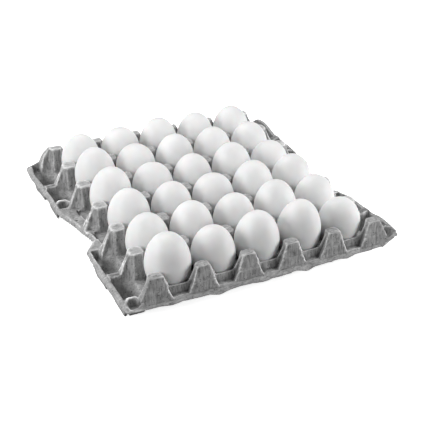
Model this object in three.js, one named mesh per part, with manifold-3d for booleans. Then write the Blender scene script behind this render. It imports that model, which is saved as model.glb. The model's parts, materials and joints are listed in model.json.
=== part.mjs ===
// Moulded pulp tray for thirty eggs, five across and six deep, with its eggs.
// Millimetres, +Z up. The origin is on the table, under the middle of the tray.
// Left and right sides have half cups against the rim and a hand recess in the middle.

import * as THREE from 'three';
import Module from 'manifold-3d';

const wasm = await Module();
wasm.setup();

// Driving dimensions of the tray
const PITCH = 47;            // from one egg to the next, both ways
const ACROSS = 5;            // eggs along X
const DEEP = 6;              // eggs along Y
const WALL = 1.8;            // thickness of the pulp
const POST_TOP = 44;         // tops of the hollow posts between the eggs
const CREST_TOP = 28.5;      // ridges along X, between one row of eggs and the next
const PARTITION_TOP = 22.5;  // ridges along X, between the half cups and the rim
const BAND_TOP = 16.5;       // low round bands along Y, between the columns
const RIM_TOP = 19.5;        // flat flange round the tray
const LIP_TOP = 16.5;        // outer edge of the flange, which droops
const LIP = 2.5;             // width of the drooping edge, left and right
const LIP_FRONT = 5;         // and in front and at the back
const CREST_HALF = 5;        // half the width that a ridge has before the cups carve it

// Driving dimensions of the posts
const POST_HALF_X = 7;       // half the top, along X
const POST_HALF_Y = 6.9;     // half the top, along Y
const POST_FLARE_X = 0.46;   // how far the X faces run out for each millimetre down
const POST_FLARE_Y = 0.11;   // the same for the Y faces
const FACE_OUT_TOP = 2.5;    // front posts: flat outer face, out from the post's axis, at the top
const FACE_FLARE = 0.12;     // and how far it runs out for each millimetre down

// Places of the rim
const RIM_IN_X = 144.5;      // inner edge of the left and right rim
const RIM_OUT_X = 149.5;     // outer edge of the left and right rim
const RIM_OUT_Y = 148;       // outer edge of the front and back flange at the corners
const FLANGE_BULGE = 3.5;    // how much further out it reaches in the middle
const RECESS_IN = 134;       // deepest place of the hand recess, at its front end
const RECESS_FRONT = -23;    // front and back ends of the recess
const RECESS_BACK = 40;
const POCKET_FLOOR = 13;     // floor of the corner pockets
const GAP_FOOT = 0.8;        // wall between two front posts, out from their axes, at the flange
const GAP_CREST = -0.5;      // and at its crest

// Driving dimensions of the eggs
const GAP = 0.6;             // air between an egg and the pulp that it leans on
const EGG_SIDES = 10;
const EGG_RINGS = 7;
const LEAN = 0.045;          // most that an egg leans over, in radians
const DRIFT = 0.35;          // most that an egg stands off the middle of its row's line
const SHIFT = -1.2;          // all the eggs have settled a little to the left of their cups

// Each kind of egg: width, length, and how far its widest place is below the middle
const EGG_KINDS = {
  s: { width: 43.0, length: 55.6, low: 1.6 },
  m: { width: 43.6, length: 57.0, low: 1.9 },
  l: { width: 44.2, length: 58.4, low: 2.1 },
  t: { width: 43.8, length: 61.0, low: 2.6 },
  r: { width: 42.8, length: 53.2, low: 0.8 },
  b: { width: 43.8, length: 56.2, low: -1.4 },
};
// The eggs as they stand in the tray, the front row first
const EGG_ROWS = ['lsltr', 'smsls', 'msblm', 'lbslr', 'lbmms', 'sbmss'];

const columnX = (i) => (i - (ACROSS - 1) / 2) * PITCH;
const rowY = (j) => (j - (DEEP - 1) / 2) * PITCH;
const postX = (i) => (i - ACROSS / 2) * PITCH;
const postY = (j) => (j - DEEP / 2) * PITCH;
const EDGE_X = postX(ACROSS);
const EDGE_Y = postY(DEEP);

// A closed solid through outlines of equal count, each [height, [[x, y], ...]], from the bottom up.
function loft(levels) {
  const count = levels[0][1].length;
  const positions = levels.flatMap(([z, outline]) => outline.flatMap(([x, y]) => [x, y, z]));
  const faces = [];
  for (let k = 0; k + 1 < levels.length; k += 1) {
    for (let a = 0; a < count; a += 1) {
      const b = (a + 1) % count;
      const low = k * count;
      const high = low + count;
      faces.push(low + a, low + b, high + b, low + a, high + b, high + a);
    }
  }
  const cap = (outline) => THREE.ShapeUtils.triangulateShape(outline.map(([x, y]) => new THREE.Vector2(x, y)), []);
  for (const [a, b, c] of cap(levels[0][1])) faces.push(c, b, a);
  const last = (levels.length - 1) * count;
  for (const [a, b, c] of cap(levels.at(-1)[1])) faces.push(last + a, last + b, last + c);
  return new wasm.Manifold(new wasm.Mesh({
    numProp: 3,
    vertProperties: new Float32Array(positions),
    triVerts: new Uint32Array(faces),
  }));
}

const box = (x0, x1, y0, y1) => [[x0, y0], [x1, y0], [x1, y1], [x0, y1]];
const around = (x, y, halfX, halfY) => box(x - halfX, x + halfX, y - halfY, y + halfY);

// A six sided outline, straight in front and arched at the back, round a pocket or its dam
function arch(x, y, halfX, halfY, front = 0.8) {
  const corners = [[-1, -front], [1, -front], [1, 0.2], [0.45, 1], [-0.45, 1], [-1, 0.2]];
  return corners.map(([a, b]) => [x + a * halfX, y + b * halfY]);
}

// The cup: at each height the two corners of a quarter of its eight sided outline,
// the one beside the low band first and the one beside the ridge second.
const CUP_FACE = [
  { z: WALL, quarter: [[11, 4.6], [4.6, 11]] },
  { z: BAND_TOP, quarter: [[18.3, 13.8], [9, 19]] },
  { z: CREST_TOP, quarter: [[24, 7.6], [13.8, 21.2]] },
  { z: POST_TOP + 1, quarter: [[24, 9.8], [14.85, 22]] },
];
// The same cup from below, a wall thickness further out
const CUP_BACK = [
  { z: 0, quarter: [[12.4, 5.2], [5.2, 12.4]] },
  { z: BAND_TOP - WALL, quarter: [[20.5, 15.6], [9.8, 20.6]] },
  { z: CREST_TOP - WALL, quarter: [[24.5, 9.5], [14.9, 22.3]] },
  { z: POST_TOP + 1, quarter: [[24.5, 11.7], [16.4, 22.5]] },
];

function cupOutline(x, y, quarter) {
  const back = [...quarter].reverse();
  return [
    ...quarter,
    ...back.map(([a, b]) => [-a, b]),
    ...quarter.map(([a, b]) => [-a, -b]),
    ...back.map(([a, b]) => [a, -b]),
  ].map(([a, b]) => [x + a, y + b]);
}

// The hollow of one cup from its floor up past the posts, or only what lies above a given height.
function cup(x, y, inset, from = 0) {
  const sections = inset > 0 ? CUP_BACK : CUP_FACE;
  const outline = ({ z, quarter }) => [z, cupOutline(x, y, quarter)];
  if (from === 0) return loft(sections.map(outline));
  const next = sections.findIndex(({ z }) => z > from);
  const [low, high] = [sections[next - 1], sections[next]];
  const t = (from - low.z) / (high.z - low.z);
  const mix = (a, b) => a + (b - a) * t;
  const quarter = low.quarter.map(([a, b], k) => [mix(a, high.quarter[k][0]), mix(b, high.quarter[k][1])]);
  return loft([{ z: from, quarter }, ...sections.slice(next)].map(outline));
}

// One post: a steep four sided block, which the cups round it carve into eight sides.
// A post of the front or back row has a flat outer face, close to its axis.
function post(i, j, inset) {
  const x = postX(i);
  const y = postY(j);
  const outline = (z) => {
    const drop = POST_TOP - z;
    const halfX = POST_HALF_X + POST_FLARE_X * drop - inset;
    const halfY = POST_HALF_Y + POST_FLARE_Y * drop - inset;
    const face = FACE_OUT_TOP + FACE_FLARE * drop - inset;
    const front = j === 0 ? face : halfY;
    const back = j === DEEP ? face : halfY;
    return box(x - halfX, x + halfX, y - front, y + back);
  };
  return loft([BAND_TOP - inset - 1, POST_TOP - inset].map((z) => [z, outline(z)]));
}

// A ridge along X at y, from x0 to x1, which the cups beside it carve. Near its crest it is solid pulp.
function ridge(x0, x1, y, top, inset) {
  const crest = inset > 0 ? BAND_TOP + 2 : top;
  return loft([0, crest].map((z) => [z, box(x0, x1, y - CREST_HALF, y + CREST_HALF)]));
}

// The outline of the flange, with the hand recess in the left and right sides.
function flangeOutline(grow, growFront = grow) {
  const left = [
    [-RIM_OUT_X + 2.5, RIM_OUT_Y],
    [-RIM_OUT_X, RIM_OUT_Y - 5],
    [-RIM_OUT_X - 0.5, 100],
    [-RIM_OUT_X + 0.5, 60],
    [-RIM_OUT_X + 1, RECESS_BACK],
    [-RECESS_IN - 7, 12],
    [-RECESS_IN - 2, -10],
    [-RECESS_IN, RECESS_FRONT],
    [-RIM_OUT_X + 2.5, RECESS_FRONT - 16],
    [-RIM_OUT_X + 1.5, -55],
    [-RIM_OUT_X - 1, -90],
    [-RIM_OUT_X - 0.5, 6 - RIM_OUT_Y],
    [-RIM_OUT_X + 2, -RIM_OUT_Y],
  ];
  const front = [-75, 0, 75].map((x) => [x, -RIM_OUT_Y - FLANGE_BULGE * Math.cos((x / EDGE_X) * 1.3)]);
  const right = [...left].reverse().map(([x, y]) => [-x, y]);
  const back = [...front].reverse().map(([x, y]) => [x, -y]);
  return [...left, ...front, ...right, ...back].map(([x, y]) => [
    x + Math.sign(x) * grow,
    y + (Math.abs(y) > EDGE_Y ? Math.sign(y) * growFront : 0),
  ]);
}

// Half cups, corner pockets and dams repeat on both sides, in a front and a back part.
const HALF_X = EDGE_X + PITCH / 2;
const PARTS = [
  { middle: -2 * PITCH, pocketY: -EDGE_Y + 1.2 },
  { middle: 2 * PITCH, pocketY: PITCH + 7 },
];

function halfCup(side, y, grow) {
  const x = side * HALF_X;
  const limit = (z, out) => [z, side < 0 ? box(x - out, x + 40, y - 40, y + 40) : box(x - 40, x + out, y - 40, y + 40)];
  const wallIn = RIM_IN_X - HALF_X;
  const reach = [limit(-5, wallIn - 3 + grow), limit(RIM_TOP, wallIn + grow), limit(60, wallIn + 4)];
  return cup(x, y, grow).intersect(loft(reach));
}

// The long pocket behind the last half cup of each part, beside the fin of the post.
function endPocket(side, middle, grow) {
  const x = side * (HALF_X - 1.5);
  const y = middle + PITCH - 4;
  return loft([
    [9 - grow, around(x, y, 2.5 + grow, 7 + grow)],
    [RIM_TOP + 3, around(x, y, 4.8 + grow, 10 + grow)],
  ]);
}

// At the front end of each part an arched dam holds a small pocket, behind the curb of the flange.
function cornerPocket(side, y, grow) {
  const x = side * (HALF_X - 3.5);
  return loft([
    [POCKET_FLOOR - grow, arch(x, y, 5.8 + grow, 5 + grow)],
    [RIM_TOP + 3, arch(x, y, 8 + grow, 7.8 + grow)],
  ]);
}

function dam(side, y, inset) {
  const x = side * (HALF_X - 3.5);
  return loft([
    [0, arch(x - side * 3, y + 4, 11 - inset, 12 - inset)],
    [PARTITION_TOP - 2 - inset, arch(x, y, 9.8 - inset, 9.8 - inset, 0.5)],
  ]);
}

// The wedge shaped gap between two posts of the front or back row, above the flange
function frontGap(x, side, grow) {
  const slab = (half, near) => {
    const ends = [side * (EDGE_Y + near - grow), side * (EDGE_Y + 30)].sort((c, d) => c - d);
    return box(x - half - grow, x + half + grow, ...ends);
  };
  return loft([
    [RIM_TOP - grow, slab(8, GAP_FOOT)],
    [CREST_TOP, slab(12, GAP_CREST)],
    [POST_TOP + 1, slab(16.9, GAP_CREST)],
  ]);
}

// Everything below the upper surface of the pulp, or, with an inset, everything below its lower surface.
function below(inset) {
  const grid = (columns, rows, make) => {
    const list = [];
    for (let i = 0; i < columns; i += 1) for (let j = 0; j < rows; j += 1) list.push(make(i, j));
    return list;
  };
  // The lower surface runs on past the edge, at the slope of the lip.
  const past = inset > 0 ? 1 : 0;
  const brim = flangeOutline(past * LIP, past * LIP_FRONT);
  const slab = loft([
    [inset > 0 ? -1 : 0, brim],
    [LIP_TOP - inset - past * (RIM_TOP - LIP_TOP), brim],
    [RIM_TOP - inset, flangeOutline(-LIP, -LIP_FRONT)],
  ]);
  const inside = loft([BAND_TOP - inset, 60].map((z) => [z, around(0, 0, EDGE_X + 11 + inset, EDGE_Y + inset)]));
  const crests = [...Array(DEEP + 1).keys()].map((j) => ridge(-EDGE_X, EDGE_X, postY(j), CREST_TOP, inset));
  const posts = grid(ACROSS + 1, DEEP + 1, (i, j) => post(i, j, inset));
  const sides = [-1, 1];
  const partitions = sides.flatMap((side) => PARTS.map(({ middle }) => {
    const ends = [side * EDGE_X, side * (RIM_IN_X + 1)].sort((a, b) => a - b);
    return ridge(...ends, middle, PARTITION_TOP, inset);
  }));
  const footprint = loft([0, 60].map((z) => [z, flangeOutline(-0.5 - inset)]));
  const walls = wasm.Manifold.union([...crests, ...posts, ...partitions]).intersect(footprint);
  let body = wasm.Manifold.union([slab.subtract(inside), walls]);

  const hollows = grid(ACROSS, DEEP, (i, j) => cup(columnX(i), rowY(j), inset));
  for (const side of sides) {
    for (const { middle } of PARTS) {
      hollows.push(halfCup(side, middle - PITCH / 2, inset), halfCup(side, middle + PITCH / 2, inset));
      hollows.push(endPocket(side, middle, inset));
    }
    for (const y of [-PITCH / 2, PITCH / 2]) hollows.push(cup(side * HALF_X, y, inset, RIM_TOP - inset));
    for (let i = 0; i < ACROSS; i += 1) hollows.push(frontGap(columnX(i), side, inset));
  }
  body = body.subtract(wasm.Manifold.union(hollows));

  const dams = sides.flatMap((side) => PARTS.map(({ pocketY }) => dam(side, pocketY, inset)));
  const pockets = sides.flatMap((side) => PARTS.map(({ pocketY }) => cornerPocket(side, pocketY, inset)));
  const curbs = wasm.Manifold.union(dams).intersect(footprint);
  return body.add(curbs).subtract(wasm.Manifold.union(pockets));
}

// The sheet of pulp is what lies between its two surfaces. Loose crumbs of the cut are dropped.
function traySolid() {
  const sheet = below(0).subtract(below(WALL));
  return sheet.decompose().sort((a, b) => b.volume() - a.volume())[0];
}

function toGeometry(solid) {
  const { vertProperties, triVerts } = solid.getMesh();
  const geometry = new THREE.BufferGeometry();
  geometry.setAttribute('position', new THREE.BufferAttribute(vertProperties, 3));
  geometry.setIndex(new THREE.BufferAttribute(triVerts, 1));
  return geometry;
}

// Half the width of an egg at a height s above its middle
function eggRadius({ width, length, low }, s) {
  const top = length ** 2 - 4 * s ** 2;
  const bottom = length ** 2 + 8 * low * s + 4 * low ** 2;
  return (width / 2) * Math.sqrt(Math.max(top, 0) / bottom);
}

// The egg slides down between the two ridges until it leans on their crests.
function eggHeight(kind) {
  const opening = CUP_FACE.find(({ z }) => z === CREST_TOP).quarter.at(-1)[1] - GAP;
  let s = 0;
  while (eggRadius(kind, s) > opening) s -= 0.05;
  return CREST_TOP - s;
}

function eggGeometry(kind) {
  const profile = [];
  for (let k = 0; k <= EGG_RINGS; k += 1) {
    const angle = (k / EGG_RINGS) * Math.PI;
    const s = (-kind.length / 2) * Math.cos(angle);
    const end = k === 0 || k === EGG_RINGS;
    profile.push(new THREE.Vector2(end ? 0 : eggRadius(kind, s), s));
  }
  return new THREE.LatheGeometry(profile, EGG_SIDES).rotateX(Math.PI / 2);
}

// A repeatable spread between -1 and 1 for the egg in column i and row j
const spread = (i, j, turn) => Math.sin(12.9 * (i + 1) + 78.2 * (j + 1) + 37.7 * turn);

const pulp = new THREE.MeshStandardMaterial({ color: 0xa3a3a1, roughness: 0.95, metalness: 0 });
const shell = new THREE.MeshStandardMaterial({ color: 0xf3f2ee, roughness: 0.55, metalness: 0 });

const part = new THREE.Group();
const tray = new THREE.Mesh(toGeometry(traySolid()), pulp);
tray.name = 'tray';
part.add(tray);

EGG_ROWS.forEach((row, j) => {
  [...row].forEach((letter, i) => {
    const kind = EGG_KINDS[letter];
    const egg = new THREE.Mesh(eggGeometry(kind), shell);
    egg.name = `egg_${j + 1}_${i + 1}`;
    const x = columnX(i) + SHIFT + DRIFT * spread(i, j, 1);
    const y = rowY(j) + DRIFT * spread(i, j, 2);
    egg.position.set(x, y, eggHeight(kind));
    egg.rotation.set(LEAN * spread(i, j, 3), LEAN * spread(i, j, 4), Math.PI * spread(i, j, 5));
    part.add(egg);
  });
});

export default part;
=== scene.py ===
# %% [markdown]
# # A tray of thirty eggs
# The real thing is a square tray moulded from grey paper pulp, with a white hen's egg in each of its
# cups. The solid model gives every piece its size and place. This lesson gives the pieces the look
# of the real ones: rough, speckled pulp with pale worn edges, and smooth matt shells.

# %% Load the solid model
import json
import math

import bpy
import numpy as np
from mathutils import Euler, Matrix, Vector
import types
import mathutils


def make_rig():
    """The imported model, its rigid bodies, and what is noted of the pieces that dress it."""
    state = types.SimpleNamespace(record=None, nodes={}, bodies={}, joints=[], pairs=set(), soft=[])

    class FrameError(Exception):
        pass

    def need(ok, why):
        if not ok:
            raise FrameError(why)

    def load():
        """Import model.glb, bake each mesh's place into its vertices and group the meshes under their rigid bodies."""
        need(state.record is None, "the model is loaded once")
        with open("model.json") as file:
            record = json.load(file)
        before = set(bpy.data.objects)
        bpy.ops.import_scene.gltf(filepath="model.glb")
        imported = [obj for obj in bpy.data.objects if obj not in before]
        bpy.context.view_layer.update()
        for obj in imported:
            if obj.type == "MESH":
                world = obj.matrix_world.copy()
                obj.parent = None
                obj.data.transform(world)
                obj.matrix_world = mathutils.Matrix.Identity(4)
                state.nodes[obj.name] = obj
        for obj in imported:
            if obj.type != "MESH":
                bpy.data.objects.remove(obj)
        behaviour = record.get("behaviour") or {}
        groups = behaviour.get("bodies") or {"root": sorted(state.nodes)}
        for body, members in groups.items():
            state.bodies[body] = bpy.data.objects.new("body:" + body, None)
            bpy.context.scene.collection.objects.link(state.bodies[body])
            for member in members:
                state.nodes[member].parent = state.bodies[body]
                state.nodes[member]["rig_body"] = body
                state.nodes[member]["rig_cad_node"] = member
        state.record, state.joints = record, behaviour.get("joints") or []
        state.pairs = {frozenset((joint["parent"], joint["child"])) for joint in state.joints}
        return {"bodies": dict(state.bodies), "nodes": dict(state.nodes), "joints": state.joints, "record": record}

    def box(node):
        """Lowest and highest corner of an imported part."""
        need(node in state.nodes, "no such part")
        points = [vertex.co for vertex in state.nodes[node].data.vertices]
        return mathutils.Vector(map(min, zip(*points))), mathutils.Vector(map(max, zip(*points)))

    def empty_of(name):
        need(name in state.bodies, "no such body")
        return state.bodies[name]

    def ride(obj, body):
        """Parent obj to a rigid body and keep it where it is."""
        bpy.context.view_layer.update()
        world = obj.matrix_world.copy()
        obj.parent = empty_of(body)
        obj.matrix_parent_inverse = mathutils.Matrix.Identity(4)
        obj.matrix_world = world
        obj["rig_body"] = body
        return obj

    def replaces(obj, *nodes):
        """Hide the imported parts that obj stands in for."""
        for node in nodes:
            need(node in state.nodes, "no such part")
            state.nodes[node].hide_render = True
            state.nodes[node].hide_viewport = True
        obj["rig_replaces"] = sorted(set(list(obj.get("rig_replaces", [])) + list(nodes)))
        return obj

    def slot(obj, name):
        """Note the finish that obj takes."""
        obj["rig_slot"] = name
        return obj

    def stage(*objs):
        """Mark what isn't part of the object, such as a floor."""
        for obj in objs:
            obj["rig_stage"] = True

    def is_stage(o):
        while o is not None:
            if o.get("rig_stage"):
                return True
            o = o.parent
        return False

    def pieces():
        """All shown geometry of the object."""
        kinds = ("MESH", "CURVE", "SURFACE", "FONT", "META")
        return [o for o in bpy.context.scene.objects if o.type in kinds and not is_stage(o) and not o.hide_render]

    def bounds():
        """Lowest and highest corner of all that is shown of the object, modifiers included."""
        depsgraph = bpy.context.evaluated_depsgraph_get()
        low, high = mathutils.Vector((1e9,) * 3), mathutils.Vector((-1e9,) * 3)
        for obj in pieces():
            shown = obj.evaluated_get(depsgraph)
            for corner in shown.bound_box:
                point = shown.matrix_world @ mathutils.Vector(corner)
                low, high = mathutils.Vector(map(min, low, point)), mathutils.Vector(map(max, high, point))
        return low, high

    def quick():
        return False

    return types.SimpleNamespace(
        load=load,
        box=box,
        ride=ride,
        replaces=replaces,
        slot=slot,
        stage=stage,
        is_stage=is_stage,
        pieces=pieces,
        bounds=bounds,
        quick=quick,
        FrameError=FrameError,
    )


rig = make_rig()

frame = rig.load()
MM = 0.001
solid_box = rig.bounds()
tray_low, tray_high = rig.box("tray")
tray_size = [round(v / MM, 1) for v in tray_high - tray_low]
print("solid model:", len(frame["nodes"]), "nodes, tray", tray_size, "mm")

# %% [markdown]
# ## The camera
# The photo looks down on the tray from the front left, from about a metre away. The camera's
# place, its turn and its focal length were worked out from the tops of the tray's posts, which
# stand on a regular grid, and from the eggs. The posts in front and on the left fall on their
# places in the picture; those at the back come out a few pixels too far right.

# %% Camera
AZIMUTH = -27.27      # degrees, from straight in front of the tray towards its left side
ELEVATION = 31.27     # degrees above the table
ROLL = 1.56
EYE = Vector((-389.0, -772.6, 516.8)) * MM

camera_data = bpy.data.cameras.new("camera")
camera_data.lens = 74.93
camera_data.shift_x = 0.027      # as if the photo were cut out of a wider one
camera_data.sensor_width = 36
camera_data.clip_end = 100
camera = bpy.data.objects.new("camera", camera_data)
bpy.context.scene.collection.objects.link(camera)
turn = Euler((math.radians(90 - ELEVATION), 0, math.radians(AZIMUTH))).to_matrix()
camera.rotation_euler = (turn @ Matrix.Rotation(math.radians(ROLL), 3, "Z")).to_euler()
camera.location = EYE
bpy.context.scene.camera = camera
print("camera", round(EYE.length, 3), "m from the middle of the tray")

# %% [markdown]
# ## Floor and light
# The photo is a bright studio picture on white. A large soft light hangs high behind the tray,
# a smaller one stands on the left, a third one in front on the right draws the paler edge on each
# egg's right side, and the white surroundings fill the rest. The picture is shown without a film
# curve, so that white stays white.


# %% Floor, lights and surroundings
def add_area(name, place, target, size, watts):
    data = bpy.data.lights.new(name, "AREA")
    data.shape = "RECTANGLE"
    data.size, data.size_y = size
    data.energy = watts
    lamp = bpy.data.objects.new(name, data)
    bpy.context.scene.collection.objects.link(lamp)
    lamp.location = place
    lamp.rotation_euler = (Vector(target) - Vector(place)).to_track_quat("-Z", "Y").to_euler()
    return lamp


bpy.ops.object.select_all(action="DESELECT")
bpy.ops.mesh.primitive_plane_add(size=60, location=(0, 0, 0))
floor = bpy.context.object
floor.name = "floor"
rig.stage(floor)

# What the eggs and the tray mirror from below is a grey table, which the picture itself doesn't show.
bpy.ops.mesh.primitive_plane_add(size=8, location=(0, 0, -0.5 * MM))
table = bpy.context.object
table.name = "table"
table.visible_camera = False
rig.stage(table)

add_area("top", (-0.35, 0.75, 1.3), (0, 0, 0), (1.2, 0.8), 14)
add_area("left", (-1.3, 0.0, 0.55), (0, 0, 0.03), (0.7, 0.6), 14)
add_area("right", (1.1, -0.6, 0.45), (0, 0, 0.03), (0.6, 0.6), 15)
world = bpy.data.worlds.new("studio")
bpy.context.scene.world = world
world.use_nodes = True
world.node_tree.nodes["Background"].inputs["Color"].default_value = (1, 1, 1, 1)
world.node_tree.nodes["Background"].inputs["Strength"].default_value = 0.36
bpy.context.scene.view_settings.view_transform = "Standard"
print("lights:", [o.name for o in bpy.data.objects if o.type == "LIGHT"])

# %% [markdown]
# ## Small helpers for materials
# Colours are picked as on a screen, and shaders reckon in linear light, so the first function
# turns a hex colour into a linear one. The second adds a node with its settings and its links. The
# last two begin a material and close it with its output.


# %% Helpers for materials
def linear(hex_colour):
    steps = [int(hex_colour[k:k + 2], 16) / 255 for k in (1, 3, 5)]
    return tuple(c / 12.92 if c <= 0.04045 else ((c + 0.055) / 1.055) ** 2.4 for c in steps) + (1.0,)


def add_node(tree, kind, settings=None, links=None):
    node = tree.nodes.new(kind)
    for key, value in (settings or {}).items():
        if key in node.inputs:
            node.inputs[key].default_value = value
        else:
            setattr(node, key, value)
    for socket, source in (links or {}).items():
        tree.links.new(source, node.inputs[socket])
    return node


def new_material(name):
    material = bpy.data.materials.new(name)
    material.use_nodes = True
    material.node_tree.nodes.clear()
    return material, material.node_tree


def finish_material(tree, shader):
    add_node(tree, "ShaderNodeOutputMaterial", links={"Surface": shader.outputs[0]})


# %% [markdown]
# ## The floor's finish
# A white studio floor that gives back almost all light. It also glows a little, as paper lit from
# below does, which keeps the shadows under the tray as faint as the photo's.

# %% White paper for the floor
paper, tree = new_material("white_studio_paper")
shader = add_node(tree, "ShaderNodeBsdfPrincipled", {
    "Base Color": linear("#f4f4f4"), "Roughness": 0.9, "Specular IOR Level": 0.2,
    "Emission Color": (1, 1, 1, 1), "Emission Strength": 0.78,
})
finish_material(tree, shader)
floor.data.materials.append(paper)
floor.visible_diffuse = False

grey, tree = new_material("grey_table")
shader = add_node(tree, "ShaderNodeBsdfPrincipled", {"Base Color": linear("#767676"), "Roughness": 0.9})
finish_material(tree, shader)
table.data.materials.append(grey)
print("finishes of the stage:", paper.name, "and", grey.name)

# %% [markdown]
# ## The tray's form
# The real tray is pressed from wet pulp on a wire mould: its walls are an even sheet, but every
# edge is round, and the drying sheet warps. The solid model has the sheet with sharp facets. A
# bevel would have to follow thousands of short edges, so a copy is laid in a fine voxel grid
# instead, which makes one even skin of it, and smoothing that skin rounds each edge and corner.


# %% A merged copy of the solid tray
def select_only(piece):
    bpy.ops.object.select_all(action="DESELECT")
    piece.select_set(True)
    bpy.context.view_layer.objects.active = piece


def apply_modifier(piece, name, kind, **settings):
    modifier = piece.modifiers.new(name, kind)
    for key, value in settings.items():
        setattr(modifier, key, value)
    select_only(piece)
    bpy.ops.object.modifier_apply(modifier=name)


def copy_node(node, name):
    source = bpy.data.objects[node]
    mesh = source.data.copy()
    mesh.name = name
    mesh.materials.clear()
    piece = bpy.data.objects.new(name, mesh)
    bpy.context.scene.collection.objects.link(piece)
    select_only(piece)
    bpy.ops.object.mode_set(mode="EDIT")
    bpy.ops.mesh.select_all(action="SELECT")
    bpy.ops.mesh.remove_doubles(threshold=0.00001)
    bpy.ops.object.mode_set(mode="OBJECT")
    return piece


def points_of(piece):
    flat = np.empty(len(piece.data.vertices) * 3, dtype=np.float32)
    piece.data.vertices.foreach_get("co", flat)
    return flat.reshape(-1, 3)


tray = copy_node("tray", "pulp_tray")
print("tray copy:", len(tray.data.vertices), "vertices")

# %% One even skin with rounded edges
VOXEL = 0.7 * MM
apply_modifier(tray, "skin", "REMESH", mode="VOXEL", voxel_size=VOXEL)
apply_modifier(tray, "round", "SMOOTH", factor=0.5, iterations=2)
print("tray skin:", len(tray.data.polygons), "faces")

# %% [markdown]
# ## Rounder places
# The tops of the posts and the rings round the small pockets are rounder than the other edges. A
# bevel would need their edges picked one by one, so the points there go into a vertex group, and
# the skin is smoothed once more in that group alone.


# %% Round the post tops and the pocket rings
def smooth_where(piece, name, chosen, iterations):
    group = piece.vertex_groups.new(name=name)
    group.add(np.nonzero(chosen)[0].tolist(), 1, "REPLACE")
    apply_modifier(piece, f"round_{name}", "SMOOTH", factor=0.5, iterations=iterations, vertex_group=name)


POST_TOP = 44         # height of the posts above the table
POCKET_X = 137.5      # the small pockets at the front end of each row of half cups
POCKETS_Y = (-139.8, 54)
RING_FOOT = 14        # the pockets' rings stand above this height
x, y, z = points_of(tray).T / MM
by_pocket = (np.abs(np.abs(x) - POCKET_X) < 10) & (z > RING_FOOT)
by_pocket &= (np.abs(y - POCKETS_Y[0]) < 11) | (np.abs(y - POCKETS_Y[1]) < 11)
smooth_where(tray, "tops", z > POST_TOP - 3, 2)
smooth_where(tray, "rings", by_pocket, 9)
print("rounded:", int((z > POST_TOP - 3).sum()), "points of the tops,", int(by_pocket.sum()), "of the rings")

# %% [markdown]
# ## Worn and highlit edges, shaded hollows
# Where trays rub on each other the grey skin wears and paler fibres show, on the rim of every
# post and along the ridges, and the same pale line is also a painted highlight where the edges
# catch the light. How far a point sinks when the skin is smoothed further says how sharply it
# sticks out, so that distance is kept with the mesh for the material to read. Where it sinks below
# zero lies a crease, and how deep a point lies under a much smoother skin marks the hollows: the
# material paints both darker, as painted shade.


# %% Measure how far each point sticks out
def ease(values, start, end):
    t = np.clip((values - start) / (end - start), 0, 1)
    return t * t * (3 - 2 * t)


def normals_of(piece):
    flat = np.empty(len(piece.data.vertices) * 3, dtype=np.float32)
    piece.data.vertex_normals.foreach_get("vector", flat)
    return flat.reshape(-1, 3)


def sinking(piece, iterations):
    probe = bpy.data.objects.new("probe", piece.data.copy())
    bpy.context.scene.collection.objects.link(probe)
    apply_modifier(probe, "sink", "SMOOTH", factor=0.5, iterations=iterations)
    depth = ((points_of(piece) - points_of(probe)) * normals_of(piece)).sum(axis=1) / MM
    bpy.data.objects.remove(probe)
    return depth


sharp = 1.6 * sinking(tray, 3)
# how deep each point lies in a hollow, kept for painted shade there
hollow_shade = -sinking(tray, 90)
print("sharpness in mm:", np.percentile(sharp, [1, 25, 50, 75, 90, 99]).round(3))
print("depth in mm:", np.percentile(hollow_shade, [1, 25, 50, 75, 90, 99]).round(3))

# %% [markdown]
# ## Where wear, painted highlights and painted shade show less or more
# The measure alone would draw the same bright line on every edge. On the real tray the flange's
# lower edge and the posts between the eggs are duller, and the flat tops of the ridges get painted
# shade between their pale edges. The posts between the eggs also get painted shade, and the post
# tops are painted paler all over, as lit from above, most of all behind the front row, so each of
# these places gets a share between 0 and 1 that changes it.

# %% Adjust the wear, painted light and painted shade by place
x, y, z = points_of(tray).T / MM
top_share = ease(z, POST_TOP - 2.5, POST_TOP - 1)
low_share = 1 - ease(z, 16.5, 18.5)
inner = ease(105 - np.abs(x), 0, 4) * ease(125 - np.abs(y), 0, 6) * ease(z, 30, 36)
rim = ease(np.abs(x), 142, 144) * (1 - ease(z, 22, 25))
flat = ease(normals_of(tray)[:, 2], 0.88, 0.98) * ease(z, 20.3, 21)
sharp *= (1 - 0.5 * top_share) * (1 - 0.7 * low_share) * (1 - 0.6 * inner) * (1 - 0.5 * rim)
# painted shade on the flat tops of the ridges, between their pale edges
sharp -= 0.05 * flat * (1 - top_share)
# painted light: the post tops paler all over, most behind the front row
sharp += 0.035 * top_share * ease(y, -128, -110) * (1 - inner)
sharp += 0.03 * top_share * inner
# painted shade on the posts between the eggs
hollow_shade += 0.2 * inner
print("points on post tops:", int((top_share > 0.5).sum()), "and on inner posts:", int((inner > 0.5).sum()))

# %% [markdown]
# ## Warped rims, lobes and slits
# This tray has had a life: its right rim has warped upwards, its back left rim runs up to the post,
# small lobes hang from the front flange, and the hand recesses have short slits and a hole. A
# sculpting brush could do this by hand. Here each is a soft move of the skin's points round a
# place, in millimetres, which can be repeated exactly. The slits and holes are also marked, for the
# material to paint the shade in them nearly black.


# %% Two soft brushes
def near(points, place, reach):
    away = (points - np.array(place)) / np.array(reach)
    return np.exp(-(away ** 2).sum(axis=1))


def near_line(points, start, end, width, height):
    start, end = np.array(start, dtype=float), np.array(end, dtype=float)
    along = end - start
    t = np.clip(((points - start) @ along) / (along @ along), 0, 1)
    away = points - start - t[:, None] * along
    return np.exp(-(away[:, :2] ** 2).sum(axis=1) / width ** 2 - (away[:, 2] / height) ** 2)


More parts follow.
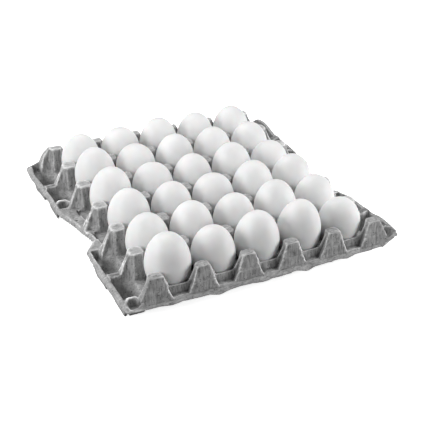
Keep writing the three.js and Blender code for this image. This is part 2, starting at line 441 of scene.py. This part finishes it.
# %% Warp the rims
PITCH = 47            # from one post or egg to the next, both ways
FLANGE = 19.5         # height of the flange above the table
FLANGE_Y = -147.4     # where the front flange meets the faces of its posts
points = points_of(tray).astype(float) / MM
x, y, z = points.T.copy()
right_rim = ease(x, 127, 146)
points[:, 2] += right_rim * (3.5 * ease(-y, 40, 60) + 4 * ease(-y, 95, 118))
points[:, 2] += right_rim * (4 * ease(y, 45, 60) + 5 * ease(y, 105, 130))
points[:, 0] -= 2 * right_rim * ease(-y, 118, 148)
risen = ease(-x, 122, 134) * ease(y, 126, 145)
points[:, 2] += risen * (5 + 4 * ease(147 + x, 0, 12))
points[:, 0] -= 2 * ease(-x, 138, 146) * ease(y, 100, 140)
print("the rims rise by up to", round(float((points[:, 2] - z).max()), 1), "mm")

# %% Hang the lobes and press in the slits and holes
LOBE_DEPTHS = (1.2, 2.2, 1.0, 2.4, 1.5)
SLIT_X = 129.3
SLITS_Y = ((-13.7, -22.3), (37.7, 28.5))
HOLE = (136.8, 19)
for k, depth in enumerate(LOBE_DEPTHS):
    lobe = near(points, ((k - 2) * PITCH - 10, -151, FLANGE - 3), (7, 4, 5))
    points[:, 2] -= depth * lobe
    points[:, 1] -= 0.4 * depth * lobe
# painted shade, nearly black, in the slits and holes
dark_shade = np.zeros(len(points))
for side in (-1, 1):
    for y_start, y_end in SLITS_Y:
        slit = near_line(points, (side * SLIT_X, y_start, FLANGE), (side * SLIT_X, y_end, FLANGE), 1.1, 3)
        points[:, 2] -= 1.6 * slit
        dark_shade = np.maximum(dark_shade, slit)
    hole = near(points, (side * HOLE[0], HOLE[1], FLANGE), (1.5, 1.5, 3))
    points[:, 2] -= 1.8 * hole
    dark_shade = np.maximum(dark_shade, hole)
tray.data.vertices.foreach_set("co", (points * MM).astype(np.float32).ravel())
tray.data.update()
print("moved:", int((np.abs(points[:, 2] - z) > 0.1).sum()), "points")

# %% [markdown]
# ## Painted shade and highlights
# The creases under the front posts and a dent in one of them are drawn by colour alone, as painted
# shade, and the lips of the corner pockets as painted highlights. The tray's form is finished above.
# From here on the points are a copy that is never written back. It is pushed about only to bend the
# marks, so that they run into each other and curl round the front right corner.

# %% Painted shade of creases and a dent on the front row
# painted shade along a crease under each front post
for k in range(6):
    foot = (k - 2.5) * PITCH
    crease = near_line(points, (foot - 14, FLANGE_Y, FLANGE), (foot + 15, FLANGE_Y, FLANGE), 0.9, 2.5)
    points[:, 2] -= 0.9 * crease
    dark_shade = np.maximum(dark_shade, 0.5 * crease)
# painted shade of a dent in one front post
dented = 1.5 * PITCH
for top in (dented + 1, dented + 6.5):
    dent = near_line(points, (top, -143.6, POST_TOP), (dented + 4, -145, 29), 1.3, 3)
    points[:, 1] += 2.2 * dent
    points[:, 2] -= 1.2 * dent
    dark_shade = np.maximum(dark_shade, 0.4 * dent)
curled = near(points, (150, -149, 22), (9, 13, 14))
points[:, 0] -= 4 * curled
points[:, 1] += 6 * curled
print("dark with creases and the dent:", int((dark_shade > 0.25).sum()), "points")

# %% [markdown]
# ## Edges that aren't worn
# The solid model has a kink across each front post and sharp crests between them, which the photo
# shows as smooth or dark. The bright line is taken off there, and the gaps between the posts and
# the outer fins of the corner posts get painted shade.

# %% Quieter edges and painted shade on the front row
KINK = (-144.8, 27.2)            # y and z of the kink across each front post
CREST = (-141.5, 28)             # of the crest between two posts
GAP = (-142.5, 24)               # and of the dark gap below it
for k in range(6):
    foot = (k - 2.5) * PITCH
    sharp *= 1 - 0.95 * near_line(points, (foot - 9, *KINK), (foot + 9, *KINK), 1.4, 1.8)
# the crests lose their pale line, and the gaps below them get painted shade
for k in range(5):
    middle = (k - 2) * PITCH
    sharp *= 1 - 0.7 * near_line(points, (middle - 9, *CREST), (middle + 9, *CREST), 2.5, 2.5)
    hollow_shade += 0.9 * near_line(points, (middle - 7, *GAP), (middle + 7, *GAP), 2.2, 3.2)
print("darkened gaps:", int((hollow_shade > 0.8).sum()), "points")

# %% [markdown]
# ## The small pockets
# Each pocket's ring is pale only along the arch at its back, worn and with a painted highlight, its
# front is dull, and its inner corner gets painted shade. In front of the corner pockets runs one more
# pale line, a painted highlight where the real flange has a lip.

# %% Wear, painted highlights and painted shade round the small pockets
ARCH = ((144.5, 4), (140.5, 8.6), (136.5, 9.4), (131, 8))          # x, and y from the pocket's middle
LIP = ((144.5, -145), (139, -148.6), (130.5, -148.2))
for side in (-1, 1):
    # painted shade on the outer fin of each corner post, without its pale line
    fin = near_line(points, (side * 126, -142.5, 42), (side * 133, -143.5, 20), 2.6, 4)
    sharp = np.where(sharp > 0, sharp * (1 - 0.8 * fin), sharp)
    hollow_shade += 0.5 * fin
    for pocket_y in POCKETS_Y:
        beside = np.exp(-((np.abs(x - side * POCKET_X) / 8.5) ** 6) - ((z - FLANGE) / 5) ** 4)
        sharp *= 1 - 0.9 * beside * ease(pocket_y - y, -2, 2) * ease(y - pocket_y, -11, -8)
        # pale arch at the back of the ring: wear and a painted highlight
        for pair in zip(ARCH, ARCH[1:]):
            start, end = [(side * spot[0], pocket_y + spot[1], FLANGE + 1) for spot in pair]
            sharp += 0.06 * near_line(points, start, end, 1.0, 2.5)
        # painted shade in the pocket's inner corner
        corner = near(points, (side * (POCKET_X - 4.3), pocket_y - 3, 17), (2.2, 3.5, 6))
        dark_shade = np.maximum(dark_shade, 0.42 * corner)
    opened = near_line(points, (side * 142, -145.6, FLANGE), (side * 133, -145.6, FLANGE), 1.2, 4)
    points[:, 2] -= 2.2 * opened
    # painted highlight along the lip in front of the pocket
    for pair in zip(LIP, LIP[1:]):
        start, end = [(side * spot[0], spot[1], FLANGE - 1) for spot in pair]
        roll = near_line(points, start, end, 1.1, 3)
        points[:, 2] += 1.1 * roll
        sharp += 0.1 * roll
print("pale edges:", int((sharp > 0.05).sum()), "points")

# %% [markdown]
# ## Keeping the marks
# A material can't reckon with the whole form, so the three marks stay with the mesh, one value of each
# for each point, and the material reads them by name.


# %% Keep the marks with the mesh
def keep_mark(piece, name, values):
    mark = piece.data.attributes.new(name, "FLOAT", "POINT")
    mark.data.foreach_set("value", values.astype(np.float32))


# the first mark is nearly black painted shade, the second wear with painted highlight and painted crease shade, the
# third painted shade in hollows
keep_mark(tray, "dark_shade", dark_shade)
keep_mark(tray, "edge", sharp)
keep_mark(tray, "painted_hollow_shade", hollow_shade)
print("marks:", [a.name for a in tray.data.attributes if a.data_type == "FLOAT"])

# %% [markdown]
# ## Warped by drying
# Wet pulp shrinks unevenly: the long walls are a little wavy and the faces are lumpy. Three slow
# noises move both sides of the sheet together, and a fine one roughens the skin itself. The feet
# are pressed flat where they stand on the table.


# %% Waves and grit
def displace(piece, name, size, strength, direction, octaves=1):
    noise = bpy.data.textures.new(name, "CLOUDS")
    noise.noise_scale = size
    noise.noise_depth = octaves
    apply_modifier(piece, name, "DISPLACE", texture=noise, strength=strength, mid_level=0.5,
                   texture_coords="LOCAL", direction=direction)
    bpy.data.textures.remove(noise)


displace(tray, "wave_x", 14 * MM, 1.2 * MM, "X")
displace(tray, "wave_y", 17 * MM, 1.2 * MM, "Y")
displace(tray, "wave_z", 21 * MM, 1.2 * MM, "Z")
displace(tray, "grit", 2.2 * MM, 0.5 * MM, "NORMAL", octaves=2)
points = points_of(tray)
points[:, 2] = np.maximum(points[:, 2], 0)
tray.data.vertices.foreach_set("co", points.ravel())
tray.data.update()
print("lowest point:", round(float(points[:, 2].min()) / MM, 2), "mm")

# %% [markdown] ## Fewer faces The even grid spends as many faces on flat walls as on edges.
# Decimating merges the flat ones and keeps the edges. Last, each point gets a mark for how steep
# it is, for the streaks that the wet pulp leaves on the walls.

# %% Thin out the skin and hand it over
MOST_TRIANGLES = 190000
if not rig.quick():
    apply_modifier(tray, "thin", "DECIMATE", ratio=MOST_TRIANGLES / (2 * len(tray.data.polygons)))
select_only(tray)
bpy.ops.object.shade_smooth()
keep_mark(tray, "steep", np.clip(1.4 - 2 * np.abs(normals_of(tray)[:, 2]), 0, 1))
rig.replaces(tray, "tray")
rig.ride(tray, "root")
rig.slot(tray, "pulp")
print("tray:", len(tray.data.polygons), "faces, attributes", [a.name for a in tray.data.attributes])

# %% [markdown]
# ## Moulded pulp
# Grey newsprint pulp: cloudy patches, darker and paler fibres and dark specks. A picture of real
# pulp could be wrapped round the tray, but noise in three dimensions has no seams and fits every
# wall. Each noise's scale is its features per metre: patches of 9 mm, fibres of 1.6 mm, specks of
# 1.4 mm and streaks of 1.9 mm. Real fibres are far finer than that and wouldn't show in the
# picture, so they are drawn as clumps. Lying ones are drawn out along X, and on steep walls upright
# streaks take their place.

# %% Grey pulp: patches, fibres and specks
pulp, tree = new_material("grey_moulded_pulp")
place = add_node(tree, "ShaderNodeTexCoord").outputs["Object"]
clouds = add_node(tree, "ShaderNodeTexNoise", {"Scale": 110, "Detail": 2, "Roughness": 0.6},
                  {"Vector": place})
lying = add_node(tree, "ShaderNodeMapping", {"Scale": (0.35, 1, 1)}, {"Vector": place})
fibres = add_node(tree, "ShaderNodeTexNoise", {"Scale": 620, "Detail": 3, "Roughness": 0.65},
                  {"Vector": lying.outputs["Vector"]})
flecks = add_node(tree, "ShaderNodeTexNoise", {"Scale": 700, "Detail": 1, "Roughness": 0.5},
                  {"Vector": place})
upright = add_node(tree, "ShaderNodeMapping", {"Scale": (1, 1, 0.1)}, {"Vector": place})
streaks = add_node(tree, "ShaderNodeTexNoise", {"Scale": 520, "Detail": 2, "Roughness": 0.6},
                   {"Vector": upright.outputs["Vector"]})
patchy = add_node(tree, "ShaderNodeValToRGB", links={"Fac": clouds.outputs["Fac"]})
patchy.color_ramp.elements[0].position = 0.3
patchy.color_ramp.elements[0].color = linear("#888888")
patchy.color_ramp.elements[1].position = 0.7
patchy.color_ramp.elements[1].color = linear("#a4a4a4")
steep = add_node(tree, "ShaderNodeAttribute", {"attribute_name": "steep"})
drawn = add_node(tree, "ShaderNodeMix", {"data_type": "FLOAT"},
                 {0: steep.outputs["Fac"], 2: fibres.outputs["Fac"], 3: streaks.outputs["Fac"]})
grain = add_node(tree, "ShaderNodeMapRange",
                 {"From Min": 0.3, "From Max": 0.7, "To Min": 0.6, "To Max": 1.35},
                 {"Value": drawn.outputs[0]})
grained = add_node(tree, "ShaderNodeMix", {"data_type": "RGBA", "blend_type": "MULTIPLY"},
                   {6: patchy.outputs["Color"], 7: grain.outputs["Result"]})
grained.inputs[0].default_value = 1
speck = add_node(tree, "ShaderNodeMapRange",
                 {"From Min": 0.64, "From Max": 0.72, "To Min": 0, "To Max": 0.7},
                 {"Value": flecks.outputs["Fac"]})
specked = add_node(tree, "ShaderNodeMix", {"data_type": "RGBA"},
                   {0: speck.outputs["Result"], 6: grained.outputs[2]})
specked.inputs[7].default_value = linear("#404040")
print("pulp nodes so far:", len(tree.nodes))

# %% [markdown]
# ## Worn and highlit edges, painted shade
# The marks kept with the mesh steer three more layers: pale worn fibres on the edges, which are also
# a painted highlight, broken up by the fibre noise; painted shade in creases and hollows; and nearly
# black painted shade in the slits, holes, creases, the dent and the pockets' corners. Pulp scatters
# light like chalk, so it is very rough and hardly shines, and its grain is also in the bump.

# %% Grey pulp: wear, painted highlights and painted shade
edge_mark = add_node(tree, "ShaderNodeAttribute", {"attribute_name": "edge"})
# pale where an edge sticks out: wear together with a painted highlight
worn_and_highlit = add_node(tree, "ShaderNodeMapRange",
                {"From Min": 0.02, "From Max": 0.1, "To Min": 0, "To Max": 1},
                {"Value": edge_mark.outputs["Fac"]})
broken_up = add_node(tree, "ShaderNodeMapRange",
                  {"From Min": 0.3, "From Max": 0.55, "To Min": 0.45, "To Max": 1},
                  {"Value": fibres.outputs["Fac"]})
wear_and_highlight = add_node(tree, "ShaderNodeMath", {"operation": "MULTIPLY"},
                {0: worn_and_highlit.outputs["Result"], 1: broken_up.outputs["Result"]})
# the pale fibres of worn edges, which are also a painted highlight
pale = add_node(tree, "ShaderNodeMix", {"data_type": "RGBA"},
                {0: wear_and_highlight.outputs["Value"], 6: specked.outputs[2]})
pale.inputs[7].default_value = linear("#ededed")
# painted shade in creases, where the edge mark is below zero
crease_shade = add_node(tree, "ShaderNodeMapRange",
                   {"From Min": -0.08, "From Max": -0.012, "To Min": 0.42, "To Max": 1},
                   {"Value": edge_mark.outputs["Fac"]})
# painted shade in the hollows, the gaps between the front posts and on the corner fins
hollow_shade_mark = add_node(tree, "ShaderNodeAttribute", {"attribute_name": "painted_hollow_shade"})
shaded = add_node(tree, "ShaderNodeMapRange",
                  {"From Min": 0.2, "From Max": 1.6, "To Min": 1, "To Max": 0.6},
                  {"Value": hollow_shade_mark.outputs["Fac"]})
dimming = add_node(tree, "ShaderNodeMath", {"operation": "MULTIPLY"},
                   {0: crease_shade.outputs["Result"], 1: shaded.outputs["Result"]})
dimmed = add_node(tree, "ShaderNodeMix", {"data_type": "RGBA", "blend_type": "MULTIPLY"},
                  {6: pale.outputs[2], 7: dimming.outputs["Value"]})
dimmed.inputs[0].default_value = 1
# nearly black painted shade in slits, holes, creases, the dent and the pockets' corners
dark_shade_mark = add_node(tree, "ShaderNodeAttribute", {"attribute_name": "dark_shade"})
dark_shade_share = add_node(tree, "ShaderNodeMapRange",
                {"From Min": 0.25, "From Max": 0.6, "To Min": 0, "To Max": 0.85},
                {"Value": dark_shade_mark.outputs["Fac"]})
coloured = add_node(tree, "ShaderNodeMix", {"data_type": "RGBA"},
                    {0: dark_shade_share.outputs["Result"], 6: dimmed.outputs[2]})
coloured.inputs[7].default_value = linear("#262626")
bump = add_node(tree, "ShaderNodeBump", {"Strength": 0.7, "Distance": 0.5 * MM},
                {"Height": drawn.outputs[0]})
shader = add_node(tree, "ShaderNodeBsdfPrincipled", {"Roughness": 0.95, "Specular IOR Level": 0.15},
                  {"Base Color": coloured.outputs[2], "Normal": bump.outputs["Normal"]})
finish_material(tree, shader)
tray.data.materials.append(pulp)
print("pulp nodes:", len(tree.nodes))

# %% [markdown]
# ## The eggs
# A hen's egg is a body of revolution, blunter at one end. It could be a squeezed sphere, but half
# of its outline turned about its axis gives the true profile. The eggs in the tray come in a few
# sizes, so each size is drawn and spun once, and every egg is a copy with its own lean and turn.
# As in the photo, those behind the front row sit a little lower than their solids, and two of
# the rows also a little further left.

# %% Outline of an egg
# Each kind as in the solid model: width, length, and how far its widest place is below the middle.
EGG_KINDS = {
    "s": (43.0, 55.6, 1.6), "m": (43.6, 57.0, 1.9), "l": (44.2, 58.4, 2.1),
    "t": (43.8, 61.0, 2.6), "r": (42.8, 53.2, 0.8), "b": (43.8, 56.2, -1.4),
}
EGG_ROWS = ["lsltr", "smsls", "msblm", "lbslr", "lbmms", "sbmss"]
LEAN = 0.045          # most that an egg leans either way, in radians, TIP apart
DRIFT = 0.35          # most that an egg stands off the middle of its cup
SHIFT = -1.2          # all the eggs have settled a little to the left of their cups
OPENING = 20.6        # half the space between two ridges, less the air that the egg keeps
CREST_TOP = 28.5
SETTLE = 0.9          # how far the eggs behind the front row have pressed into the soft ridges
SLID = 0.7            # how far those of rows 4 and 5 have slid to the left
TIP = 0.04            # and how far they tip that way, in radians


def egg_radius(kind, s):
    width, length, low = EGG_KINDS[kind]
    top = max(length ** 2 - 4 * s ** 2, 0)
    return width / 2 * math.sqrt(top / (length ** 2 + 8 * low * s + 4 * low ** 2))


def egg_height(kind):
    s = 0
    while egg_radius(kind, s) > OPENING:
        s -= 0.05
    return CREST_TOP - s


print("middles of the eggs:", {kind: round(egg_height(kind), 1) for kind in EGG_KINDS}, "mm up")

# %% Draw each kind's half outline and spin it
RINGS = 40
SIDES = 56


def spin_egg(kind):
    length = EGG_KINDS[kind][1]
    angles = [math.pi * k / RINGS for k in range(RINGS + 1)]
    heights = [-length / 2 * math.cos(a) for a in angles]
    radii = [egg_radius(kind, s) for s in heights]
    radii[0] = radii[-1] = 0
    bpy.ops.object.select_all(action="DESELECT")
    bpy.ops.mesh.primitive_plane_add(size=MM, location=(0, 0, 0))
    egg = bpy.context.object
    egg.name = f"egg_kind_{kind}"
    bpy.ops.object.mode_set(mode="EDIT")
    bpy.ops.mesh.merge(type="CENTER")
    bpy.ops.transform.translate(value=(0, 0, heights[0] * MM))
    for k in range(RINGS):
        step = (radii[k + 1] - radii[k], 0, heights[k + 1] - heights[k])
        bpy.ops.mesh.extrude_region_move(TRANSFORM_OT_translate={"value": [v * MM for v in step]})
    bpy.ops.mesh.select_all(action="SELECT")
    bpy.ops.mesh.spin(steps=SIDES, angle=2 * math.pi, center=(0, 0, 0), axis=(0, 0, 1))
    bpy.ops.mesh.select_all(action="SELECT")
    bpy.ops.mesh.remove_doubles(threshold=0.00002)
    bpy.ops.mesh.normals_make_consistent(inside=False)
    bpy.ops.object.mode_set(mode="OBJECT")
    bpy.ops.object.shade_smooth()
    return egg


kinds = {kind: spin_egg(kind) for kind in EGG_KINDS}
print({k: (len(o.data.vertices), [round(v / MM, 1) for v in o.dimensions]) for k, o in kinds.items()})

# %% [markdown]
# ## Eggshell
# A white shell is chalk with fine pores, about 0.7 mm apart. It is matt with a faint satin sheen,
# and a little light passes into it, which softens its shadows.

# %% White eggshell
shell, tree = new_material("white_eggshell")
place = add_node(tree, "ShaderNodeTexCoord").outputs["Object"]
tone = add_node(tree, "ShaderNodeTexNoise", {"Scale": 45, "Detail": 2}, {"Vector": place})
pores = add_node(tree, "ShaderNodeTexVoronoi", {"Scale": 1400}, {"Vector": place})
white = add_node(tree, "ShaderNodeValToRGB", links={"Fac": tone.outputs["Fac"]})
white.color_ramp.elements[0].position = 0.35
white.color_ramp.elements[0].color = linear("#d2d2d2")
white.color_ramp.elements[1].position = 0.65
white.color_ramp.elements[1].color = linear("#dadada")
bump = add_node(tree, "ShaderNodeBump", {"Strength": 0.12, "Distance": 0.1 * MM},
                {"Height": pores.outputs["Distance"]})
shader = add_node(tree, "ShaderNodeBsdfPrincipled", {
    "Roughness": 0.5, "Specular IOR Level": 0.35, "Subsurface Weight": 0.15, "Subsurface Scale": 2 * MM,
}, {"Base Color": white.outputs["Color"], "Normal": bump.outputs["Normal"]})
finish_material(tree, shader)
print("shell nodes:", len(tree.nodes))

# %% [markdown]
# ## Every egg in its cup
# No two eggs stand alike, so each one leans and turns by its own small amount. The amounts come
# from a formula with the egg's row and column, not from chance, so they are the same every time.


# %% Stand an egg in every cup
def spread(i, j, turn):
    return math.sin(12.9 * (i + 1) + 78.2 * (j + 1) + 37.7 * turn)


farthest = 0
for j, row in enumerate(EGG_ROWS):
    for i, kind in enumerate(row):
        name = f"egg_{j + 1}_{i + 1}"
        mesh = kinds[kind].data.copy()
        behind = j in (3, 4)
        x = (i - 2) * PITCH + SHIFT - SLID * behind + DRIFT * spread(i, j, 1)
        y = (j - 2.5) * PITCH + DRIFT * spread(i, j, 2)
        tip = LEAN * spread(i, j, 4) - TIP * behind
        pose = Euler((LEAN * spread(i, j, 3), tip, math.pi * spread(i, j, 5))).to_matrix()
        sunk = SETTLE if j > 0 else 0
        mesh.transform(Matrix.Translation(Vector((x, y, egg_height(kind) - sunk)) * MM) @ pose.to_4x4())
        egg = bpy.data.objects.new(f"shell_{j + 1}_{i + 1}", mesh)
        bpy.context.scene.collection.objects.link(egg)
        mesh.materials.append(shell)
        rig.replaces(egg, name)
        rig.ride(egg, "root")
        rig.slot(egg, "eggshell")
        low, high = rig.box(name)
        here = np.array([v.co for v in mesh.vertices])
        middle = (here.min(axis=0) + here.max(axis=0)) / 2
        farthest = max(farthest, float(np.abs(middle - np.array((low + high) / 2)).max()))
for model in kinds.values():
    bpy.data.objects.remove(model)
print("eggs placed, farthest from its solid:", round(farthest / MM, 2), "mm")

# %% [markdown]
# ## Sizes
# Last, the box round the solid model and the box round the finished pieces are written side by
# side, which shows how far the look goes past the solids.

# %% Sizes
with open("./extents.json", "w") as file:
    boxes = {"cad": solid_box, "visual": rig.bounds()}
    json.dump({k: [[float(c) for c in corner] for corner in v] for k, v in boxes.items()}, file)
print(open("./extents.json").read())
